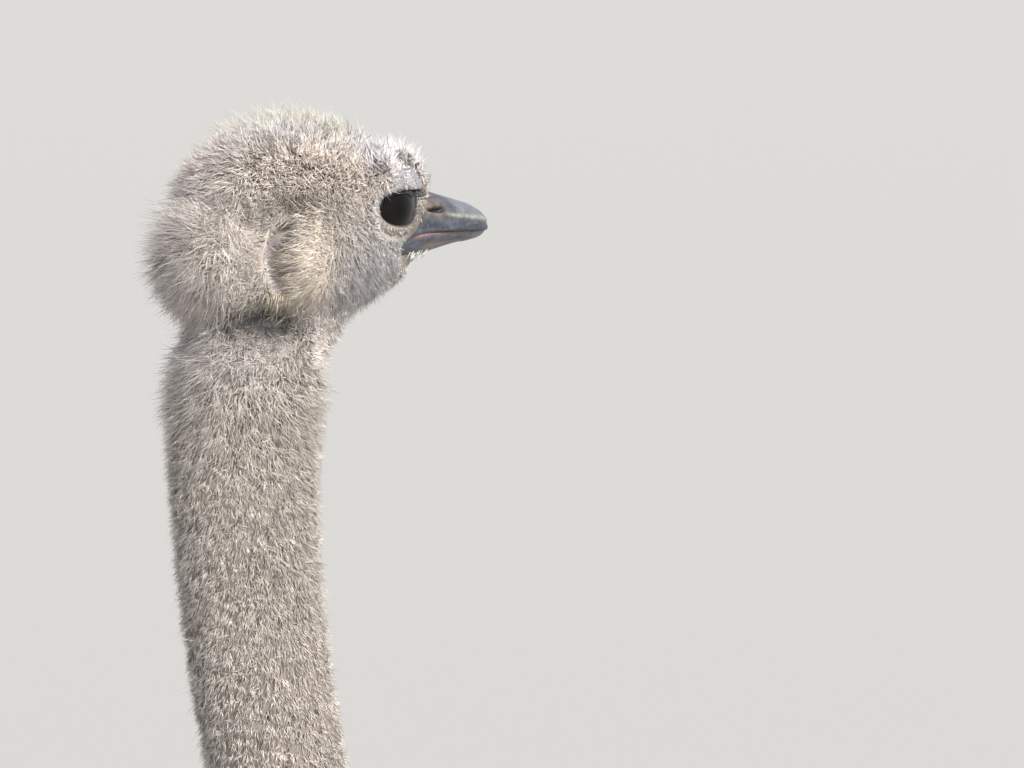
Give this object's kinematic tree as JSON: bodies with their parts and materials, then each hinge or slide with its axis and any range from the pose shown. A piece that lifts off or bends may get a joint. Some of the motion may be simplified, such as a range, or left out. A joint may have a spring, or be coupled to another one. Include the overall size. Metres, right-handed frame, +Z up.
{
  "type": "ostrich",
  "caption": "Full-grown cock ostrich standing with its neck raised: downy grey neck, slate bill, black plumage, white wing and tail plumes, bare legs and broad toes.",
  "frame": {"origin": "on the floor under the middle of the bird's bounding box", "axes": "+Z up, +X the way the bird faces, +Y to the bird's left"},
  "size_m": [1.5464, 0.6934, 2.1803],
  "materials": {
    "neck_down": "short hair-like down, beige grey",
    "black_plumage": "loose black body plumes",
    "white_plumes": "soft off-white plumes",
    "bare_skin": "bare pinkish-grey skin",
    "leg_scales": "skin under horny scales",
    "bill_horn": "slate bill horn, satin",
    "claw_horn": "dark claw horn, satin",
    "wet_eye": "wet, nearly black eye"
  },
  "bodies": {
    "root": {"head": "neck_down", "neck_1": "neck_down", "neck_2": "neck_down", "neck_3": "neck_down", "neck_4": "neck_down", "neck_5": "black_plumage", "trunk": "black_plumage", "wing_left": "black_plumage", "wing_quills_left": "white_plumes", "wing_right": "black_plumage", "wing_quills_right": "white_plumes", "tail": "white_plumes", "bill_upper": "bill_horn", "bill_lower": "bill_horn", "eye_left": "wet_eye", "thigh_left": "bare_skin", "shank_left": "leg_scales", "toe_main_left": "leg_scales", "toe_outer_left": "leg_scales", "claw_main_left": "claw_horn", "claw_outer_left": "claw_horn", "eye_right": "wet_eye", "thigh_right": "bare_skin", "shank_right": "leg_scales", "toe_main_right": "leg_scales", "toe_outer_right": "leg_scales", "claw_main_right": "claw_horn", "claw_outer_right": "claw_horn"}
  },
  "joints": []
}
